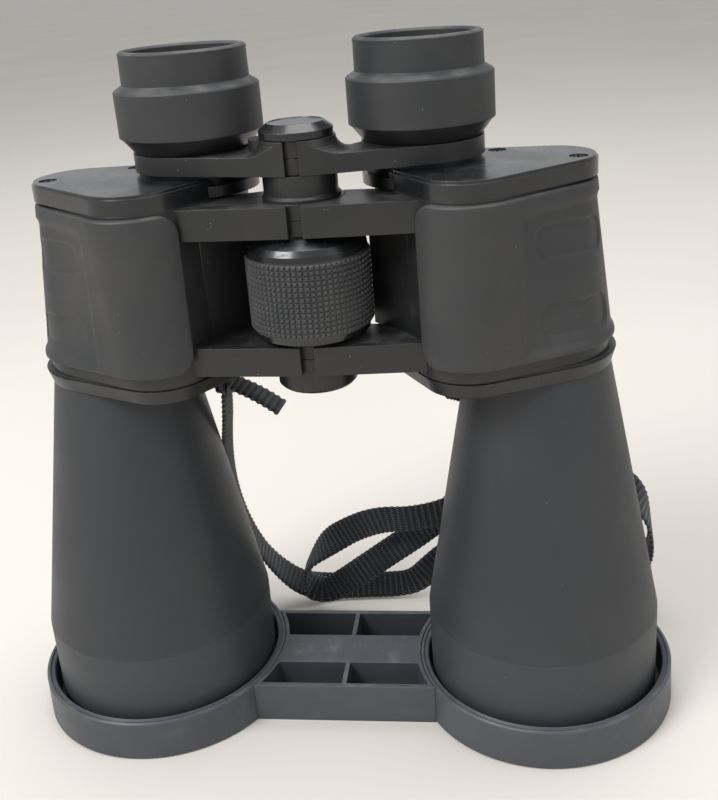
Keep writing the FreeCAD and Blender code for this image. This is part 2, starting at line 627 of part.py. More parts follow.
def build():
    both_sides("barrel", barrel())
    both_sides("retaining_ring", retaining_ring())
    both_sides("objective_crown", lens(LENS_R, 9.0, 12.0, 3.0, 3.2, OBJ_X, 0))
    both_sides("objective_flint", lens(LENS_R, 12.0, LENS_SEAT - 0.1, -3.2, 0.6, OBJ_X, 0))
    both_sides("objective_flange", objective_flange())
    both_sides("upper_prism", upper_prism())
    both_sides("lower_prism", lower_prism())
    both_sides("prism_shelf", prism_shelf())
    both_sides("prism_clips", prism_clips())
    both_sides("ocular_plate", ocular_plate())
    both_sides("plate_screws", plate_screws())
    both_sides("armour", armour())
    both_sides("ocular_tube", ocular_tube())
    both_sides("field_lens", field_lens())
    both_sides("ocular_body", ocular_body())
    both_sides("eye_lens", eye_lens())
    both_sides("eyecup", eyecup())
    both_sides("strap_lug", strap_lug())
    NODES["right_housing"] = housing(True)
    NODES["left_housing"] = housing(False)
    NODES["right_bridge_arm"] = bridge_arm(True)
    NODES["left_bridge_arm"] = bridge_arm(False)
    NODES["hinge_tube"] = hinge_tube()
    NODES["hinge_collar"] = hinge_collar()
    NODES["hinge_end_cap"] = end_cap()
    NODES["thrust_washers"] = thrust_washers()
    NODES["focus_wheel"] = focus_wheel()
    NODES["focus_grip"] = focus_grip()
    NODES["focus_spindle"] = focus_spindle()
    NODES["hinge_cap"] = hinge_cap()
    NODES["left_cap_cup"] = cap_cup(-OBJ_X - CAP_PLAY)
    NODES["right_cap_cup"] = cap_cup(OBJ_X + CAP_PLAY)
    NODES["cap_bridge"] = cap_bridge()
    NODES["strap_tail"] = strap_tail()
    NODES["strap"] = strap()


build()
os.makedirs("parts", exist_ok=True)
for node, shape in NODES.items():
    solids = len(shape.Solids)
    print(f"{node:24s} solids {solids} valid {shape.isValid()} volume {shape.Volume:10.1f}")
    shape.exportStep(f"parts/{node}.step")
print(len(NODES), "nodes")
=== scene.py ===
import math

import bpy
import numpy as np
from mathutils import Matrix, Vector


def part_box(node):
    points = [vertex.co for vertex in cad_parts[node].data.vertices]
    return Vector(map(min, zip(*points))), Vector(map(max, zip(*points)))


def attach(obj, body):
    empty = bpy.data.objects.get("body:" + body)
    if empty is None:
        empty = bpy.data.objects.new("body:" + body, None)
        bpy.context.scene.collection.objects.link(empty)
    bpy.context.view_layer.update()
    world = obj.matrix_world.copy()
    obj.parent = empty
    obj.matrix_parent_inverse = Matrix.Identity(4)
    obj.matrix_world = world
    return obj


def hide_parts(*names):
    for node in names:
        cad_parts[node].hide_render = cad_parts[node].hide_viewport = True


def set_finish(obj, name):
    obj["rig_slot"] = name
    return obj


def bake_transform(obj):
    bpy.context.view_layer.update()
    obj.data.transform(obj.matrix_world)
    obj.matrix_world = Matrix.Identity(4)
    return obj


# Visual model of 60 mm Porro-prism binoculars that stand on their dual objective cap.
# Metres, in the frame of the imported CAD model: X along the line of the objectives, Y away from the
# camera, Z up, origin on the table midway between the objective axes.

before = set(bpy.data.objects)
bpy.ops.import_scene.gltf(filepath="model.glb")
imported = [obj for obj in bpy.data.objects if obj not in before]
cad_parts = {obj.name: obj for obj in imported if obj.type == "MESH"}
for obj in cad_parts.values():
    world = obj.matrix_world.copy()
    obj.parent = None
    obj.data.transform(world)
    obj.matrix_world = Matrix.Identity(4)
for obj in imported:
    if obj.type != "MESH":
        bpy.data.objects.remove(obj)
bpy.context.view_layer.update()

MM = 0.001

# ---- camera ----
CAMERA_AT = (0.053974, -0.287091, 0.227249)
CAMERA_YAW = -0.13329
CAMERA_PITCH = -0.35467
CAMERA_ROLL = -0.07282
CAMERA_LENS = 47.08
CAMERA_SHIFT = (-0.0214, -0.0707)

# ---- strap ----
STRAP_WIDE = 10.0 * MM
STRAP_THICK = 1.5 * MM
RIB_PITCH = 2.1 * MM        # spacing of the ribs that run across the webbing
RIB_HEIGHT = 0.15 * MM
RIB_SPREAD = 0.12 * MM      # how much wider the webbing is at a rib
FLAT_SHARE = 0.94           # share of the half width before the rounded edge
FACE_LINES = 7              # lines of vertices along each face of the webbing
WRAP_STEPS = 60
WRAP_GAP = 0.1 * MM
TAIL_STEPS = 70
TAIL_INSET = 0.6 * MM       # the free end's centreline stays this far inside the CAD node's box
TAIL_DROP = 1.2 * MM
TAIL_RISE = 0.8 * MM
TAIL_BOW = 0.7 * MM
TAIL_WIDTH_WAY = (0.07, 1.0, 0.0)
SAME_POINT = 0.01 * MM      # points closer together than this are one point
CURVE_STEPS = 40            # points read from the curve between two control points
STRAP_ROUTE = [
    (-0.033, 0.0054, 0.1046), (-0.0345, 0.0085, 0.0955), (-0.0385, 0.0175, 0.082),
    (-0.0415, 0.0255, 0.069), (-0.0425, 0.0305, 0.0545), (-0.0412, 0.0345, 0.041),
    (-0.0378, 0.038, 0.028), (-0.0323, 0.041, 0.017), (-0.0245, 0.0435, 0.008),
    (-0.014, 0.0465, 0.0052), (-0.002, 0.0475, 0.0052), (0.009, 0.0478, 0.0052),
    (0.0175, 0.048, 0.0065), (0.024, 0.0483, 0.013), (0.0315, 0.049, 0.0195),
    (0.042, 0.049, 0.019), (0.054, 0.0475, 0.0115), (0.066, 0.0465, 0.006),
    (0.0785, 0.048, 0.0052), (0.0885, 0.054, 0.0052), (0.089, 0.064, 0.0052),
    (0.078, 0.0695, 0.0052), (0.0645, 0.071, 0.0052), (0.0515, 0.071, 0.0052),
    (0.0415, 0.0675, 0.0052), (0.038, 0.0605, 0.0052), (0.0435, 0.0558, 0.0056),
    (0.0535, 0.0555, 0.007), (0.066, 0.056, 0.0095), (0.0785, 0.0545, 0.0145),
    (0.089, 0.0495, 0.0165), (0.097, 0.044, 0.0175), (0.1015, 0.0385, 0.0245),
    (0.1013, 0.0345, 0.035), (0.099, 0.033, 0.046), (0.092, 0.035, 0.0545),
    (0.081, 0.04, 0.0595), (0.068, 0.0435, 0.06), (0.055, 0.041, 0.0565),
    (0.0435, 0.0335, 0.052), (0.032, 0.0265, 0.0485), (0.02, 0.024, 0.0468),
    (0.009, 0.0265, 0.0455), (-0.0015, 0.031, 0.0395), (-0.011, 0.0345, 0.032),
    (-0.0185, 0.037, 0.024), (-0.0223, 0.039, 0.0165), (-0.0208, 0.04, 0.0095),
    (-0.0145, 0.0395, 0.0076), (-0.0075, 0.0378, 0.013), (0.001, 0.0363, 0.02),
    (0.0115, 0.0355, 0.028), (0.0225, 0.0345, 0.0365), (0.0335, 0.0335, 0.046),
    (0.0425, 0.0325, 0.058), (0.047, 0.03, 0.071), (0.0465, 0.0255, 0.084),
    (0.0415, 0.0185, 0.0945), (0.036, 0.0105, 0.1008), (0.033, 0.0054, 0.1034)]
# Which way the strap's width points, at some of the route's points: (index, direction).
STRAP_WIDTH_WAYS = [
    (0, (0, 1, 0)), (6, (0, 1, 0)), (9, (0, 0.45, 1)), (12, (0, 0.2, 1)), (30, (0, 0, 1)),
    (34, (0, 1, 0.5)), (38, (0, 0, 1)), (45, (0, 0, 1)), (47.5, (0, 1, 0)), (50, (0, 0.1, 1)),
    (54, (0, 0.3, 1)), (58, (0, 1, 0)), (61, (0, 1, 0))]


# ---------------------------------------------------------------- camera and strap
def make_camera():
    """Camera at the viewing angle: it looks along +Y, turned by yaw, then pitch, then roll."""
    ahead = Vector((math.sin(CAMERA_YAW), math.cos(CAMERA_YAW), 0))
    side = Vector((math.cos(CAMERA_YAW), -math.sin(CAMERA_YAW), 0))
    upright = Vector((0, 0, 1))
    look = ahead * math.cos(CAMERA_PITCH) + upright * math.sin(CAMERA_PITCH)
    above = upright * math.cos(CAMERA_PITCH) - ahead * math.sin(CAMERA_PITCH)
    right = side * math.cos(CAMERA_ROLL) + above * math.sin(CAMERA_ROLL)
    top = above * math.cos(CAMERA_ROLL) - side * math.sin(CAMERA_ROLL)
    data = bpy.data.cameras.new("camera")
    data.lens = CAMERA_LENS
    data.shift_x, data.shift_y = CAMERA_SHIFT
    data.clip_start = 0.01
    camera = bpy.data.objects.new("camera", data)
    turn = Matrix((right, top, -look)).transposed()
    camera.matrix_world = Matrix.Translation(CAMERA_AT) @ turn.to_4x4()
    bpy.context.scene.collection.objects.link(camera)
    bpy.context.scene.camera = camera


def mesh_object(name, vertices, faces, smooth=True):
    mesh = bpy.data.meshes.new(name)
    mesh.from_pydata([tuple(v) for v in vertices], [], faces)
    mesh.validate()
    mesh.polygons.foreach_set("use_smooth", [smooth] * len(mesh.polygons))
    mesh.update()
    piece = bpy.data.objects.new(name, mesh)
    bpy.context.scene.collection.objects.link(piece)
    return piece


def unit(rows):
    return rows / np.linalg.norm(rows, axis=-1, keepdims=True)


def strap_line():
    """Points of the smooth curve whose control points are the strap's route."""
    curve = bpy.data.curves.new("strap_route", "CURVE")
    curve.dimensions = "3D"
    curve.resolution_u = CURVE_STEPS
    spline = curve.splines.new("NURBS")
    spline.points.add(len(STRAP_ROUTE) - 1)
    for point, place in zip(spline.points, STRAP_ROUTE):
        point.co = (*place, 1.0)
    spline.order_u = 3
    spline.use_endpoint_u = True
    holder = bpy.data.objects.new("strap_route", curve)
    mesh = bpy.data.meshes.new_from_object(holder)
    line = np.array([vertex.co for vertex in mesh.vertices])
    bpy.data.objects.remove(holder)
    bpy.data.meshes.remove(mesh)
    apart = np.linalg.norm(np.diff(line, axis=0), axis=1) > SAME_POINT
    return line[np.append(True, apart)]


def strap_width_ways(line):
    """Width direction at each point of the line, from the nearest control points' directions."""
    travelled = np.linspace(0, len(STRAP_ROUTE) + 1, len(line))
    stations = np.array([index for index, way in STRAP_WIDTH_WAYS], float)
    wanted = unit(np.array([way for index, way in STRAP_WIDTH_WAYS], float))
    return np.column_stack([np.interp(travelled, stations, wanted[:, k]) for k in range(3)])


def ribbon(name, line, ways, closed=False):
    """Webbing that follows a line: rounded edges, ribs across it, and its own (along, across) map."""
    ahead = np.roll(line, -1, axis=0) - np.roll(line, 1, axis=0)
    if not closed:
        ahead[0] = line[1] - line[0]
        ahead[-1] = line[-1] - line[-2]
    ahead = unit(ahead)
    across = unit(ways - ahead * np.sum(ways * ahead, axis=1)[:, None])
    for i in range(1, len(across)):
        if np.dot(across[i], across[i - 1]) < 0:
            across[i] *= -1
    normal = np.cross(ahead, across)
    steps = np.linalg.norm(np.diff(line, axis=0), axis=1)
    along = np.concatenate([[0], np.cumsum(steps)])
    rib = np.cos(2 * math.pi * along / RIB_PITCH)
    face = np.linspace(-FLAT_SHARE, FLAT_SHARE, FACE_LINES)
    section = [(x, 1.0) for x in face] + [(1.0, 0.0)] + [(x, -1.0) for x in face[::-1]] + [(-1.0, 0.0)]
    half_wide = STRAP_WIDE / 2 - RIB_SPREAD
    half_thick = STRAP_THICK / 2 - RIB_HEIGHT
    vertices, web = [], []
    for i in range(len(line)):
        wide = half_wide + RIB_SPREAD * rib[i]
        for x, side in section:
            thick = side * (half_thick * (1 - 0.25 * abs(x) ** 6) + RIB_HEIGHT * rib[i])
            vertices.append(line[i] + across[i] * x * wide + normal[i] * thick)
            web.append((along[i], x * wide, side))
    count, around = len(line), len(section)
    faces = []
    for i in range(count if closed else count - 1):
        for j in range(around):
            a, b = i * around + j, i * around + (j + 1) % around
            c, d = ((i + 1) % count) * around + (j + 1) % around, ((i + 1) % count) * around + j
            faces.append((a, d, c, b))
    if not closed:
        faces.append(tuple(range(around)))
        faces.append(tuple(reversed(range((count - 1) * around, count * around))))
    piece = mesh_object(name, vertices, faces)
    attribute = piece.data.attributes.new("web", "FLOAT_VECTOR", "POINT")
    attribute.data.foreach_set("vector", np.array(web, np.float32).ravel())
    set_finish(piece, "webbing")
    return piece


def lug_centre(side):
    """Middle of a lug's lower bar, and the radius of its wire."""
    low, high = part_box(side + "_strap_lug")
    bar = (high.x - low.x) / 2
    return Vector(((low.x + high.x) / 2, (low.y + high.y) / 2, low.z + bar)), bar


def strap_wrap(side):
    """The turn of webbing that goes round the bar of a lug."""
    centre, bar = lug_centre(side)
    radius = bar + STRAP_THICK / 2 + WRAP_GAP
    angles = np.linspace(0, 2 * math.pi, WRAP_STEPS, endpoint=False)
    line = np.column_stack([
        centre.x + radius * np.cos(angles),
        np.full(WRAP_STEPS, centre.y),
        centre.z + radius * np.sin(angles)])
    ways = np.tile((0.0, 1.0, 0.0), (WRAP_STEPS, 1))
    wrap = ribbon(side + "_strap_wrap", line, ways, closed=True)
    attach(wrap, side + "_half")
    return wrap


def make_tail():
    """Free end of the strap beside the left lug: it bows up a little along its length."""
    low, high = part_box("strap_tail")
    middle_y = (low.y + high.y) / 2
    t = np.linspace(0, 1, TAIL_STEPS)
    start = Vector((low.x + TAIL_INSET, middle_y + TAIL_INSET, high.z - TAIL_DROP))
    end = Vector((high.x - TAIL_INSET, middle_y - TAIL_INSET, low.z + TAIL_RISE))
    line = np.outer(1 - t, start) + np.outer(t, end)
    line[:, 2] += TAIL_BOW * np.sin(math.pi * t)
    tail = ribbon("strap_end", line, np.tile(TAIL_WIDTH_WAY, (TAIL_STEPS, 1)))
    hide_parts("strap_tail")
    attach(tail, "left_half")
    return tail


def make_strap():
    """The neck strap, from lug to lug, with its free end and its turns round the lug bars."""
    line = strap_line()
    strap = ribbon("neck_strap", line, strap_width_ways(line))
    with_pieces = [make_tail(), strap_wrap("left"), strap_wrap("right")]
    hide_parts("strap")
    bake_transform(strap)
    return [strap] + with_pieces


# ---------------------------------------------------------------- armour panels
ARMOUR_THICK = 1.8 * MM
ARMOUR_START = 32.4 * MM    # x of the panel's two inner edges
ARMOUR_Z = (122.8 * MM, 167.9 * MM)
ARMOUR_CORNER = 6.0 * MM
ARMOUR_ROUND = 0.6 * MM
ARMOUR_SUNK = 0.4 * MM      # how deep the panel's inner side lies in the housing wall
ARMOUR_STEP = (0.6 * MM, 0.35 * MM)     # mesh spacing along the skin and in height
ARMOUR_EDGE = 2.5 * MM      # the mesh is closer together within this of the front and back edges
ARC_STEPS = 60
LINE_STEPS = 40
HOUSING_Z = (119.5 * MM, 168.6 * MM)
LOW_PLAN = [(32.35, 0.5, 14.0), (43.8, -17.0, 14.4), (61.4, 0.0, 21.6)]     # circles, in mm
HIGH_PLAN = [(32.35, 0.5, 14.0), (44.8, -18.6, 14.0), (64.3, -1.5, 13.2)]
RECESS_START = 28.8 * MM    # along the skin from its front inner edge
RECESS_Z = (124.4 * MM, 164.2 * MM)
RECESS_BEVEL = 1.6 * MM
RECESS_DEPTH = 0.8 * MM
OVAL_HALF = (12.2 * MM, 4.85 * MM)
OVAL_CORNER = 4.0 * MM
OVAL_SLOPE = 0.06
OVAL_DEPTH = 0.6 * MM
OVAL_WALL = 0.5 * MM
OVALS = [(46.7 * MM, 154.2 * MM), (46.4 * MM, 132.8 * MM)]    # centres: along the skin, height


def hull_outline(circles):
    """Points and normals round a set of circles, counter-clockwise, from the second circle's arc."""
    count = len(circles)
    ends = []
    for i in range(count):
        x0, y0, r0 = circles[i]
        x1, y1, r1 = circles[(i + 1) % count]
        gap = math.hypot(x1 - x0, y1 - y0)
        dx, dy = (x1 - x0) / gap, (y1 - y0) / gap
        lean = (r0 - r1) / gap
        across = math.sqrt(1 - lean * lean)
        ends.append((dx * lean + dy * across, dy * lean - dx * across))
    rows = []
    for step in range(count):
        i = (step + 1) % count
        x0, y0, r0 = circles[i]
        x1, y1, r1 = circles[(i + 1) % count]
        a0 = math.atan2(ends[i - 1][1], ends[i - 1][0])
        a1 = math.atan2(ends[i][1], ends[i][0])
        a1 += 2 * math.pi if a1 < a0 else 0
        for a in np.linspace(a0, a1, ARC_STEPS, endpoint=False):
            rows.append((x0 + r0 * math.cos(a), y0 + r0 * math.sin(a), math.cos(a), math.sin(a)))
        nx, ny = ends[i]
        for t in np.linspace(0, 1, LINE_STEPS, endpoint=False):
            r = r0 + (r1 - r0) * t
            rows.append((x0 + (x1 - x0) * t + r * nx, y0 + (y1 - y0) * t + r * ny, nx, ny))
    outline = np.array(rows)
    outline[:, :2] *= MM
    return outline


def skin_rows(z, low, high):
    """The housing's outline at height z, cut to the panel's span, with distance along it."""
    w = (z - HOUSING_Z[0]) / (HOUSING_Z[1] - HOUSING_Z[0])
    ring = low * (1 - w) + high * w
    inside = ring[:, 0] > ARMOUR_START
    first = int(np.argmax(inside))
    last = first + int(np.argmin(inside[first:]))

    def cut(a, b):
        t = (ARMOUR_START - ring[a, 0]) / (ring[b, 0] - ring[a, 0])
        return ring[a] * (1 - t) + ring[b] * t

    span = np.vstack([cut(first - 1, first), ring[first:last], cut(last - 1, last)])
    steps = np.linalg.norm(np.diff(span[:, :2], axis=0), axis=1)
    return span, np.concatenate([[0], np.cumsum(steps)])


def spread(length, step, edge):
    """Distances from 0 to length, a step apart, and closer together near both ends."""
    near = edge * (1 - np.cos(np.linspace(0, math.pi / 2, 9)))
    middle = np.linspace(edge, length - edge, int((length - 2 * edge) / step) + 1)
    return np.concatenate([near[:-1], middle, length - near[::-1][1:]])


def armour_height(s, z, length):
    """How far the skin stands out at distance s along it and height z."""
    side = np.minimum(s, length - s)
    edge = min(z - ARMOUR_Z[0], ARMOUR_Z[1] - z)
    corner = ARMOUR_CORNER - np.hypot(ARMOUR_CORNER - side, ARMOUR_CORNER - edge)
    in_corner = (side < ARMOUR_CORNER) & (edge < ARMOUR_CORNER)
    inward = np.where(in_corner, corner, np.minimum(side, edge))
    rise = np.clip(inward / ARMOUR_ROUND, 0, 1)
    height = ARMOUR_THICK * np.sqrt(1 - (1 - rise) ** 2)
    into = np.minimum(side - RECESS_START, min(z - RECESS_Z[0], RECESS_Z[1] - z))
    height -= RECESS_DEPTH * np.clip(into / RECESS_BEVEL, 0, 1)
    for along, middle in OVALS:
        across = z - middle + OVAL_SLOPE * (s - along)
        qx = np.abs(s - along) - OVAL_HALF[0] + OVAL_CORNER
        qz = np.abs(across) - OVAL_HALF[1] + OVAL_CORNER
        outside = np.hypot(np.maximum(qx, 0), np.maximum(qz, 0)) + np.minimum(np.maximum(qx, qz), 0)
        inner = np.clip((OVAL_CORNER - outside) / OVAL_WALL, 0, 1)
        height -= OVAL_DEPTH * inner * inner * (3 - 2 * inner)
    return height


def make_armour(side):
    """Rubber skin with rounded borders, and a thumb recess and two shallow ovals sunk at each side."""
    low, high = hull_outline(LOW_PLAN), hull_outline(HIGH_PLAN)
    mirror = 1 if side == "right" else -1
    tall = ARMOUR_Z[1] - ARMOUR_Z[0]
    heights = ARMOUR_Z[0] + spread(tall, ARMOUR_STEP[1], ARMOUR_CORNER)
    longest = skin_rows(ARMOUR_Z[0], low, high)[1][-1]
    share = spread(longest, ARMOUR_STEP[0], ARMOUR_EDGE) / longest
    outer, inner = [], []
    for z in heights:
        span, travelled = skin_rows(z, low, high)
        length = travelled[-1]
        rest = max(ARMOUR_CORNER - min(z - ARMOUR_Z[0], ARMOUR_Z[1] - z), 0)
        start = ARMOUR_CORNER - math.sqrt(max(ARMOUR_CORNER ** 2 - rest ** 2, 0))
        s = start + share * (length - 2 * start)
        x, y, nx, ny = (np.interp(s, travelled, span[:, k]) for k in range(4))
        size = np.hypot(nx, ny)
        level = np.full(len(s), z)
        sunk = np.full(len(s), -ARMOUR_SUNK)
        for height, rows in ((armour_height(s, z, length), outer), (sunk, inner)):
            out_x, out_y = x + nx / size * height, y + ny / size * height
            rows.append(np.column_stack([mirror * out_x, out_y, level]))
    rows, columns = len(heights), len(share)
    vertices = np.concatenate([np.concatenate(outer), np.concatenate(inner)])
    back = rows * columns
    faces = []
    for i in range(rows - 1):
        for j in range(columns - 1):
            a, b = i * columns + j, i * columns + j + 1
            c, d = b + columns, a + columns
            faces.append((a, b, c, d))
            faces.append((back + d, back + c, back + b, back + a))
    border = list(range(columns))
    border += [i * columns + columns - 1 for i in range(1, rows)]
    border += [(rows - 1) * columns + j for j in range(columns - 2, -1, -1)]
    border += [i * columns for i in range(rows - 2, 0, -1)]
    for a, b in zip(border, border[1:] + border[:1]):
        faces.append((b, a, back + a, back + b))
    if mirror < 0:
        faces = [tuple(reversed(face)) for face in faces]
    piece = mesh_object(side + "_armour_skin", vertices, faces)
    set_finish(piece, "armour_rubber")
    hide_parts(side + "_armour")
    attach(piece, side + "_half")
    return piece


# ---------------------------------------------------------------- focus grip
GRIP_COLUMNS = 68
GRIP_ROWS = 14
GRIP_CUT = 0.55 * MM        # depth of the grooves between the studs
GRIP_LIP = 0.35 * MM
GRIP_WALL = 2.15 * MM
# Lines of vertices across one stud: (share of its pitch, 0 in the groove or 1 on top).
STUD_LINES = [(0.06, 0), (0.30, 1), (0.74, 1), (0.98, 0)]


def make_grip():
    """Rubber sleeve of the focus wheel, with rows of small square studs."""
    low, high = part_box("focus_grip")
    middle = (low + high) / 2
    radius = (high.x - low.x) / 2
    inner = radius - GRIP_WALL
    around = [
        ((i + share) / GRIP_COLUMNS, top) for i in range(GRIP_COLUMNS) for share, top in STUD_LINES]
    first, last = low.z + GRIP_LIP, high.z - GRIP_LIP
    pitch = (last - first) / GRIP_ROWS
    levels = [(low.z, 0), (first, 0)]
    levels += [(first + (i + share) * pitch, top) for i in range(GRIP_ROWS) for share, top in STUD_LINES]
    levels += [(last, 0), (high.z, 0)]
    rings = [(low.z, inner, 0)] + [(z, radius - GRIP_CUT, top) for z, top in levels] + [(high.z, inner, 0)]
    vertices = []
    for z, ring_radius, top in rings:
        for share, column_top in around:
            r = ring_radius + GRIP_CUT * min(top, column_top)
            angle = 2 * math.pi * share
            vertices.append((middle.x + r * math.cos(angle), middle.y + r * math.sin(angle), z))
    count, columns = len(rings), len(around)
    faces = []
    for i in range(count):
        below, above = i * columns, ((i + 1) % count) * columns
        for j in range(columns):
            k = (j + 1) % columns
            faces.append((below + j, below + k, above + k, above + j))
    piece = mesh_object("focus_grip_studs", vertices, faces, smooth=False)
    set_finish(piece, "grip_rubber")
    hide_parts("focus_grip")
    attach(piece, "focus_knob")
    return piece


# ---------------------------------------------------------------- materials
def grey(level, warm=0.0):
    """Linear colour from a display grey of 0 to 255, a little warmer or cooler."""
    shades = [min(max((level + warm * k) / 255, 0), 1) for k in (1, 0.2, -1)]
    return (*[(s / 12.92 if s < 0.04 else ((s + 0.055) / 1.055) ** 2.4) for s in shades], 1.0)


class Finish:
    """A material's node tree round one shader, with short names for the nodes it uses."""

    def __init__(self, name, metallic=0.0, specular=0.5):
        self.material = bpy.data.materials.new(name)
        self.material.use_nodes = True
        self.tree = self.material.node_tree
        self.tree.nodes.clear()
        self.shader = self.tree.nodes.new("ShaderNodeBsdfPrincipled")
        self.shader.inputs["Metallic"].default_value = metallic
        self.shader.inputs["Specular IOR Level"].default_value = specular
        output = self.tree.nodes.new("ShaderNodeOutputMaterial")
        self.tree.links.new(self.shader.outputs["BSDF"], output.inputs["Surface"])
        self.place = self.node("TexCoord").outputs["Object"]

    def node(self, kind, inputs=None, **settings):
        made = self.tree.nodes.new("ShaderNode" + kind)
        for name, value in settings.items():
            setattr(made, name, value)
        for name, value in (inputs or {}).items():
            self.feed(made.inputs[name], value)
        return made

    def feed(self, socket, value):
        if isinstance(value, bpy.types.NodeSocket):
            self.tree.links.new(value, socket)
        else:
            socket.default_value = value

    def noise(self, size, detail=2.0, stretch=(1, 1, 1)):
        """Noise from 0 to 1 whose features are about size metres across."""
        moved = self.node("Mapping", {"Vector": self.place, "Scale": stretch})
        return self.node(
            "TexNoise", {"Vector": moved.outputs["Vector"], "Scale": 1 / size, "Detail": detail}
        ).outputs["Fac"]

    def fit(self, value, low, high, to_low=0.0, to_high=1.0):
        return self.node("MapRange", {
            "Value": value, "From Min": low, "From Max": high, "To Min": to_low, "To Max": to_high
        }).outputs["Result"]

    def maths(self, operation, a, b=0.0):
        made = self.node("Math", operation=operation)
        self.feed(made.inputs[0], a)
        self.feed(made.inputs[1], b)
        return made.outputs[0]

    def mix(self, share, a, b):
        made = self.node("Mix", data_type="RGBA")
        self.feed(made.inputs["Factor"], share)
        self.feed(made.inputs[6], a)
        self.feed(made.inputs[7], b)
        return made.outputs[2]

    def facing_up(self, low, high):
        normal = self.node("NewGeometry").outputs["Normal"]
        return self.fit(self.node("SeparateXYZ", {"Vector": normal}).outputs["Z"], low, high)

    def specks(self, size, share, spot=0.16):
        """Scattered small spots: a share of the cells of a given size hold one."""
        cells = self.node("TexVoronoi", {"Vector": self.place, "Scale": 1 / size, "Randomness": 1.0})
        chosen = self.node("SeparateXYZ", {"Vector": cells.outputs["Color"]}).outputs["X"]
        dots = self.fit(cells.outputs["Distance"], spot, spot * 0.6)
        return self.maths("MULTIPLY", dots, self.maths("LESS_THAN", chosen, share))

    def soft_normal(self, radius):
        return self.node("Bevel", {"Radius": radius}, samples=6).outputs["Normal"]

    def edges(self, soft, low, high):
        """1 along hard edges, from how far the softened normal leans away from the true one."""
        true = self.node("NewGeometry").outputs["Normal"]
        made = self.node("VectorMath", operation="DOT_PRODUCT")
        self.feed(made.inputs[0], soft)
        self.feed(made.inputs[1], true)
        return self.fit(made.outputs["Value"], low, high)

    def bump(self, height, distance, normal=None):
        inputs = {"Height": height, "Distance": distance, "Strength": 1.0}
        if normal is not None:
            inputs["Normal"] = normal
        return self.node("Bump", inputs).outputs["Normal"]

    def finish(self, colour, roughness, normal):
        self.feed(self.shader.inputs["Base Color"], colour)
        self.feed(self.shader.inputs["Roughness"], roughness)
        self.feed(self.shader.inputs["Normal"], normal)
        return self.material


DUST = grey(160, 2)


def moulded(name, level, rough, grain, depth, dust, specks, edge, shine=0.5):
    """Moulded plastic or rubber: fine grain, uneven tone, soft edges with a painted highlight along them, and
    dust where it can settle.
    """
    cool = -2
    f = Finish(name, specular=shine)
    slow = f.fit(f.noise(28 * MM, 3), 0.3, 0.7)
    base = f.mix(slow, grey(level - 5, cool), grey(level + 5, cool + 2))
    soft = f.soft_normal(edge)
    # Painted highlight: the hard edges are painted lighter, in patches, as if they caught the light.
    edge_highlight = f.maths("MULTIPLY", f.edges(soft, 0.985, 0.90), f.fit(f.noise(4 * MM), 0.35, 0.7, 0.15, 0.8))
    base = f.mix(edge_highlight, base, grey(level + 26, cool))
    settled = f.maths("MULTIPLY", f.facing_up(0.55, 0.95), f.fit(f.noise(7 * MM, 4), 0.42, 0.75, 0.0, dust))
    spots = f.maths("MULTIPLY", f.specks(0.9 * MM, specks), f.fit(f.noise(15 * MM), 0.4, 0.62))
    on_top = f.maths("MULTIPLY", f.specks(0.5 * MM, min(specks * 8, 0.5)), f.facing_up(0.6, 0.95))
    dusty = f.maths("MAXIMUM", settled, f.maths("MAXIMUM", spots, on_top))
    colour = f.mix(dusty, base, DUST)
    uneven = f.fit(f.noise(11 * MM, 4), 0.3, 0.7, rough - 0.05, rough + 0.06)
    roughness = f.maths("MINIMUM", f.maths("ADD", uneven, f.maths("MULTIPLY", dusty, 0.5)), 1.0)
    fine = f.noise(grain, 2)
    return f.finish(colour, roughness, f.bump(fine, depth, soft))


def lacquer():
    """Fine matt lacquer of the barrels: the straight band at the front end is painted a shade lighter, partly
    its own tone and partly painted light bounced up from the floor.
    """
    f = Finish("cell_lacquer", specular=0.42)
    slow = f.fit(f.noise(45 * MM, 3), 0.3, 0.7)
    base = f.mix(slow, grey(46, -3), grey(53, -2))
    height = f.node("SeparateXYZ", {"Vector": f.place}).outputs["Z"]
    # Painted light: the band below 33 mm is painted lighter, partly the cell's own tone and partly painted
    # bounce light from the floor below.
    cell_band_bounce_light = f.fit(height, 33.6 * MM, 32.6 * MM)
    base = f.mix(cell_band_bounce_light, base, grey(59, -3))
    rubbed = f.fit(f.noise(9 * MM, 5, (1, 1, 0.35)), 0.6, 0.8, 0.0, 0.25)
    base = f.mix(rubbed, base, grey(66, -2))
    spots = f.maths("MULTIPLY", f.specks(1.3 * MM, 0.02, 0.1), f.fit(f.noise(20 * MM), 0.42, 0.6))
    colour = f.mix(spots, base, DUST)
    roughness = f.fit(f.noise(16 * MM, 4), 0.3, 0.7, 0.46, 0.56)
    step = f.fit(height, 32.9 * MM, 33.1 * MM)
    grain = f.bump(f.noise(0.35 * MM, 2), 0.035 * MM, f.soft_normal(0.5 * MM))
    return f.finish(colour, roughness, f.bump(step, 0.08 * MM, grain))


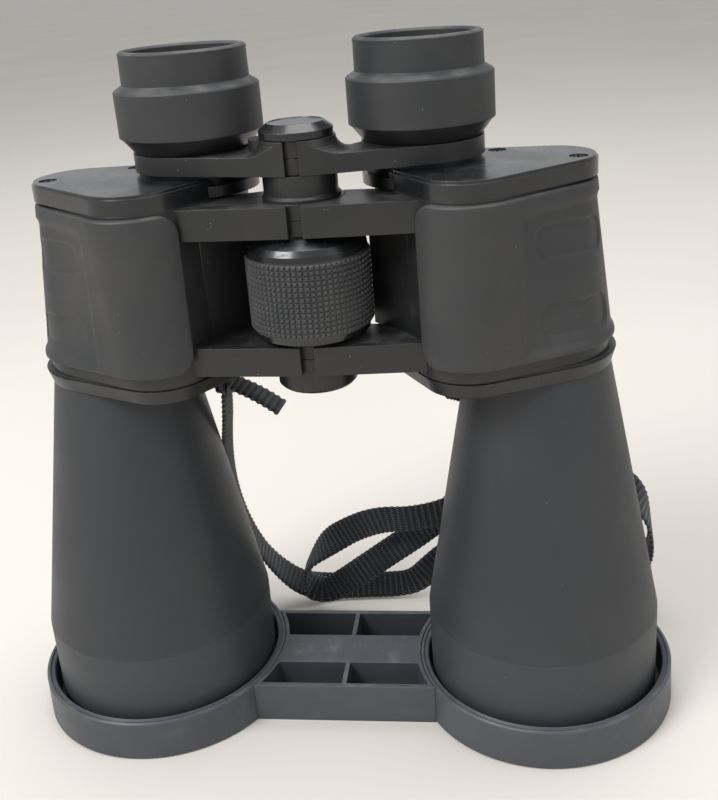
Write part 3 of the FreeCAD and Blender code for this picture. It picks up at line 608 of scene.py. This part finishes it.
def gloss(name, level, rough):
    """Polished black part: painted highlight along its edges, faint smears, hairline scratches and a little
    dust on top.
    """
    f = Finish(name, specular=0.55)
    soft = f.soft_normal(0.3 * MM)
    base = f.mix(f.fit(f.noise(20 * MM, 3), 0.3, 0.7), grey(level - 3, -2), grey(level + 4, -2))
    # Painted highlight: the hard edges are painted lighter.
    base = f.mix(f.edges(soft, 0.985, 0.90), base, grey(level + 34, -2))
    hair = None
    for turn, size in ((0.4, 2.2 * MM), (-0.9, 1.7 * MM)):
        turned = f.node("Mapping", {"Vector": f.place, "Rotation": (0, 0, turn), "Scale": (1, 22, 4)})
        streak = f.node("TexNoise", {"Vector": turned.outputs["Vector"], "Scale": 0.25 / size, "Detail": 3.0})
        line = f.fit(streak.outputs["Fac"], 0.66, 0.74)
        hair = line if hair is None else f.maths("MAXIMUM", hair, line)
    up = f.facing_up(0.6, 0.95)
    settled = f.maths("MULTIPLY", up, f.fit(f.noise(9 * MM, 4), 0.5, 0.8, 0.0, 0.1))
    spots = f.maths("MULTIPLY", f.specks(0.8 * MM, 0.1), up)
    dusty = f.maths("MAXIMUM", settled, spots)
    colour = f.mix(dusty, base, DUST)
    smear = f.fit(f.noise(13 * MM, 4), 0.35, 0.7, rough - 0.05, rough + 0.1)
    scuffed = f.maths("ADD", smear, f.maths("MULTIPLY", hair, 0.15))
    roughness = f.maths("MINIMUM", f.maths("ADD", scuffed, f.maths("MULTIPLY", dusty, 0.5)), 1.0)
    f.shader.inputs["Coat Weight"].default_value = 0.25
    f.shader.inputs["Coat Roughness"].default_value = 0.12
    return f.finish(colour, roughness, f.bump(hair, 0.02 * MM, soft))


def machined(name, tint, dark, rough):
    """Turned metal: fine rings round the optical axes, uneven tone and worn edges."""
    f = Finish(name, metallic=1.0)
    soft = f.soft_normal(0.2 * MM)
    rings = f.noise(0.35 * MM, 2, (0.15, 0.15, 1))
    base = f.mix(f.fit(f.noise(6 * MM, 4), 0.3, 0.7), tint, dark)
    roughness = f.fit(rings, 0.3, 0.7, rough - 0.07, rough + 0.1)
    return f.finish(base, roughness, f.bump(rings, 0.015 * MM, soft))


def glass(name, film, tint):
    """Clear optical glass with faint dust, and a thin anti-reflection film where film is above 0."""
    f = Finish(name)
    f.shader.inputs["IOR"].default_value = 1.52
    f.shader.inputs["Transmission Weight"].default_value = 0.92
    f.shader.inputs["Thin Film Thickness"].default_value = film
    f.shader.inputs["Thin Film IOR"].default_value = 1.38
    dusty = f.maths("MULTIPLY", f.specks(1.4 * MM, 0.08, 0.08), 0.5)
    colour = f.mix(dusty, tint, DUST)
    roughness = f.fit(f.noise(5 * MM, 4), 0.4, 0.8, 0.02, 0.09)
    return f.finish(colour, roughness, f.bump(f.noise(8 * MM, 1), 0.002 * MM))


def nylon():
    """Milky white nylon of the thrust washers."""
    f = Finish("washer_nylon")
    base = f.mix(f.noise(2 * MM, 3), grey(196, 8), grey(214, 6))
    f.shader.inputs["Subsurface Weight"].default_value = 0.1
    return f.finish(base, f.fit(f.noise(1 * MM), 0.3, 0.7, 0.35, 0.5), f.bump(f.noise(0.4 * MM), 0.02 * MM))


def cap_plastic():
    """Satin polyethylene of the cap: streaks along its band, soft edges with a painted highlight along them,
    and light scuffs.
    """
    f = Finish("cap_plastic", specular=0.45)
    soft = f.soft_normal(0.45 * MM)
    streak = f.noise(3 * MM, 4, (0.12, 1.0, 0.5))
    slow = f.fit(f.noise(30 * MM, 3), 0.3, 0.7)
    base = f.mix(slow, grey(66, -4), grey(74, -4))
    base = f.mix(f.fit(streak, 0.55, 0.75, 0.0, 0.35), base, grey(92, -3))
    # Painted highlight: the hard edges are painted lighter, in patches.
    edge_highlight = f.maths("MULTIPLY", f.edges(soft, 0.985, 0.88), f.fit(f.noise(3 * MM), 0.3, 0.7, 0.2, 0.9))
    base = f.mix(edge_highlight, base, grey(96, -2))
    up = f.facing_up(0.6, 0.95)
    spots = f.maths("MULTIPLY", f.specks(0.9 * MM, 0.06), up)
    settled = f.maths("MULTIPLY", up, f.fit(f.noise(8 * MM, 4), 0.5, 0.8, 0.0, 0.25))
    dusty = f.maths("MAXIMUM", settled, spots)
    colour = f.mix(dusty, base, DUST)
    roughness = f.maths("ADD", f.fit(streak, 0.3, 0.7, 0.36, 0.5), f.maths("MULTIPLY", dusty, 0.4))
    scuffs = f.maths("ADD", f.noise(0.5 * MM, 2), f.maths("MULTIPLY", streak, 1.5))
    return f.finish(colour, roughness, f.bump(scuffs, 0.03 * MM, soft))


def webbing():
    """Woven strap: warp cords along it, picks across it, crests of the weave painted lighter than its grooves
    as painted highlight and shade, and a slightly fuzzy sheen.
    """
    f = Finish("webbing", specular=0.3)
    web = f.node("Attribute", attribute_name="web").outputs["Vector"]
    parts = f.node("SeparateXYZ", {"Vector": web})
    along, across = parts.outputs["X"], parts.outputs["Y"]
    rib = f.maths("COSINE", f.maths("MULTIPLY", along, 2 * math.pi / RIB_PITCH))
    cords = f.maths("COSINE", f.maths("MULTIPLY", across, 2 * math.pi / (0.8 * MM)))
    picks = f.maths("COSINE", f.maths("MULTIPLY", along, 4 * math.pi / RIB_PITCH))
    weave = f.maths("ADD", cords, f.maths("MULTIPLY", picks, f.maths("MULTIPLY", cords, 0.6)))
    # Painted highlight and shade: the crests of the ribs and cords are painted lighter and the grooves
    # between them darker, patchy along the strap.
    painted_weave_light = f.maths("MULTIPLY", f.fit(rib, -0.3, 0.9), f.fit(cords, -0.6, 0.8, 0.25, 1.0))
    patchy = f.fit(f.noise(12 * MM, 3), 0.35, 0.65, 0.35, 1.0)
    base = f.mix(f.maths("MULTIPLY", painted_weave_light, patchy), grey(26, -4), grey(92, -4))
    lint = f.fit(f.noise(0.9 * MM, 4), 0.68, 0.8, 0.0, 0.5)
    colour = f.mix(lint, base, grey(120, 2))
    f.shader.inputs["Sheen Weight"].default_value = 0.25
    f.shader.inputs["Sheen Roughness"].default_value = 0.5
    height = f.maths("ADD", weave, f.noise(0.3 * MM, 3))
    return f.finish(colour, f.fit(rib, -1, 1, 0.8, 0.6), f.bump(height, 0.12 * MM))


def make_finishes():
    """The finish of every material slot in the record."""
    return {
        "cell_lacquer": lacquer(),
        "armour_rubber": moulded(
            "armour_rubber", 51, 0.50, 0.30 * MM, 0.03 * MM, 0.1, 0.012, 0.25 * MM, 0.45),
        "cup_rubber": moulded(
            "cup_rubber", 49, 0.50, 0.35 * MM, 0.03 * MM, 0.3, 0.02, 0.45 * MM, 0.45),
        "grip_rubber": moulded(
            "grip_rubber", 62, 0.55, 0.25 * MM, 0.03 * MM, 0.2, 0.02, 0.06 * MM, 0.45),
        "moulded_black": moulded(
            "moulded_black", 31, 0.36, 0.35 * MM, 0.025 * MM, 0.12, 0.06, 0.3 * MM),
        "gloss_black": gloss("gloss_black", 20, 0.26),
        "lens_glass": glass("lens_glass", 320, grey(150, -20)),
        "prism_glass": glass("prism_glass", 0, grey(235, 0)),
        "black_anodised": machined("black_anodised", grey(52, -3), grey(40, -3), 0.34),
        "spring_steel": machined("spring_steel", grey(176, 2), grey(150, 2), 0.25),
        "blackened_steel": machined("blackened_steel", grey(62, 0), grey(44, 0), 0.38),
        "spindle_brass": machined("spindle_brass", (0.62, 0.42, 0.16, 1), (0.50, 0.33, 0.12, 1), 0.28),
        "washer_nylon": nylon(),
        "cap_plastic": cap_plastic(),
        "webbing": webbing(),
    }


def apply_finishes(pieces):
    """Each CAD node and each new piece takes the finish of its slot in the record."""
    finishes = make_finishes()
    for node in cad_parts.values():
        for slot in node.material_slots:
            slot.material = finishes[slot.material.name.split(".")[0]]
    for piece in pieces:
        piece.data.materials.append(finishes[piece["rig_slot"]])


# ---------------------------------------------------------------- floor and light
FLOOR_HALF = 60.0
WORLD_COLOUR = (0.97, 0.985, 1.0, 1)
WORLD_STRENGTH = 0.64
LIGHTS_AIM = (0, 0, 0.12)
LIGHTS = [      # name, place, size, power in watts
    ("key", (-0.6, -0.6, 1.0), 0.6, 12.0),
    ("overhead", (0.1, 0.15, 1.3), 0.9, 10.0),
    ("fill", (0.9, -0.5, 0.55), 0.8, 1.2)]


def make_floor():
    half = FLOOR_HALF
    corners = [(-half, -half, 0), (half, -half, 0), (half, half, 0), (-half, half, 0)]
    floor = mesh_object("floor", corners, [(0, 1, 2, 3)], smooth=False)
    f = Finish("floor_paint", specular=0.3)
    tone = f.mix(f.fit(f.noise(0.3, 3), 0.3, 0.7), grey(197, 6), grey(202, 6))
    floor.data.materials.append(f.finish(tone, 0.75, f.bump(f.noise(5 * MM, 3), 0.004 * MM)))


def soft_light(name, place, size, power):
    data = bpy.data.lights.new(name, "AREA")
    data.shape = "DISK"
    data.size = size
    data.energy = power
    light = bpy.data.objects.new(name, data)
    light.location = place
    light.rotation_euler = (Vector(LIGHTS_AIM) - Vector(place)).to_track_quat("-Z", "Y").to_euler()
    bpy.context.scene.collection.objects.link(light)


def make_light():
    world = bpy.data.worlds.new("studio")
    world.use_nodes = True
    background = world.node_tree.nodes["Background"]
    background.inputs["Color"].default_value = WORLD_COLOUR
    background.inputs["Strength"].default_value = WORLD_STRENGTH
    bpy.context.scene.world = world
    for light in LIGHTS:
        soft_light(*light)
    bpy.context.scene.view_settings.view_transform = "Standard"


make_camera()
pieces = make_strap()
pieces += [make_armour("right"), make_armour("left"), make_grip()]
apply_finishes(pieces)
make_floor()
make_light()
